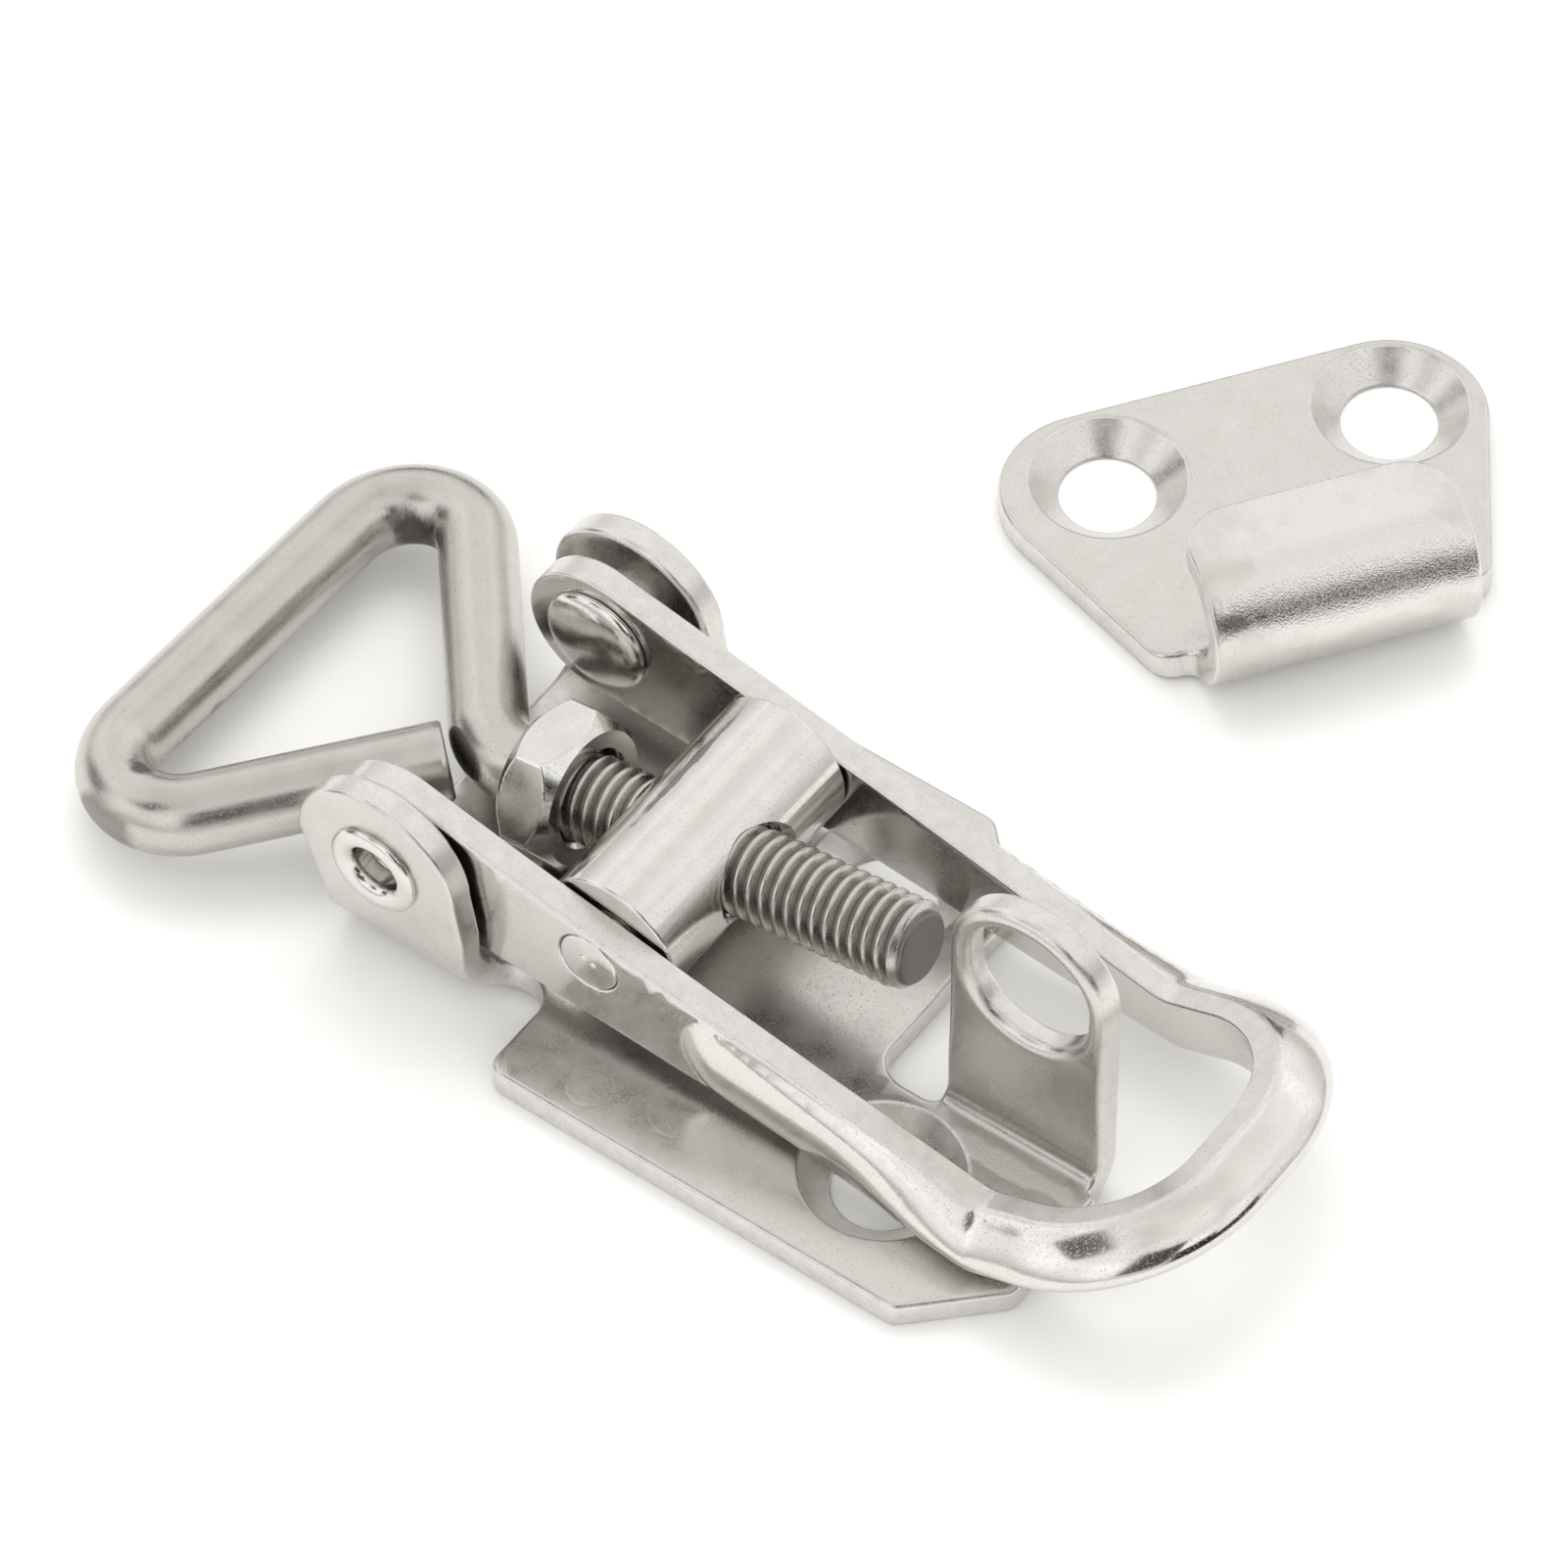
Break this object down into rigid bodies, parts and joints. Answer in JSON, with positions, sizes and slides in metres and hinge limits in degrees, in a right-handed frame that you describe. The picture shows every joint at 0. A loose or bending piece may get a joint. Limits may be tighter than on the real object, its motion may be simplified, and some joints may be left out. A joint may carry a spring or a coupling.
{
  "type": "marine draw latch",
  "caption": "Adjustable stainless over-centre draw latch with a triangular wire loop, a padlock tongue and a separate hook keeper.",
  "frame": {"origin": "the mounting face of the base plate, straight under the axis of the barrel that the lever carries", "axes": "+X towards the lever's handle, +Y across the latch towards the side with the rear flange, +Z away from the mounting face"},
  "size_m": [0.0852, 0.086, 0.0231],
  "materials": {
    "polished_stainless": "polished and tumbled",
    "brushed_stainless": "soft satin",
    "wire_stainless": "drawn and tumbled",
    "turned_stainless": "turned and polished"
  },
  "bodies": {
    "base": {"base_plate": "brushed_stainless", "front_pivot_rivet": "turned_stainless", "rear_pivot_rivet": "turned_stainless", "keeper": "brushed_stainless"},
    "lever": {"lever": "polished_stainless"},
    "barrel": {"trunnion_barrel": "turned_stainless"},
    "bolt": {"draw_bolt": "wire_stainless"},
    "nut": {"lock_nut": "turned_stainless"}
  },
  "joints": [
    {"name": "lever_swing", "type": "hinge", "parent": "base", "child": "lever", "pos_m": [-0.0149, 0, 0.01], "axis": [0, -1, 0], "range_deg": [0, 150]},
    {"name": "barrel_turn", "type": "hinge", "parent": "lever", "child": "barrel", "pos_m": [0, 0, 0.0091], "axis": [0, -1, 0], "range_deg": [-150, 0]},
    {"name": "bolt_travel", "type": "slide", "parent": "barrel", "child": "bolt", "axis": [0.9893, 0, 0.1461], "range_m": [-0.01, 0.0015]},
    {"name": "nut_travel", "type": "slide", "parent": "barrel", "child": "nut", "axis": [0.9893, 0, 0.1461], "range_m": [-0.0005, 0.0033]}
  ],
  "couplings": [
    {"joint": "barrel_turn", "follows": "lever_swing", "ratio": -1}
  ]
}
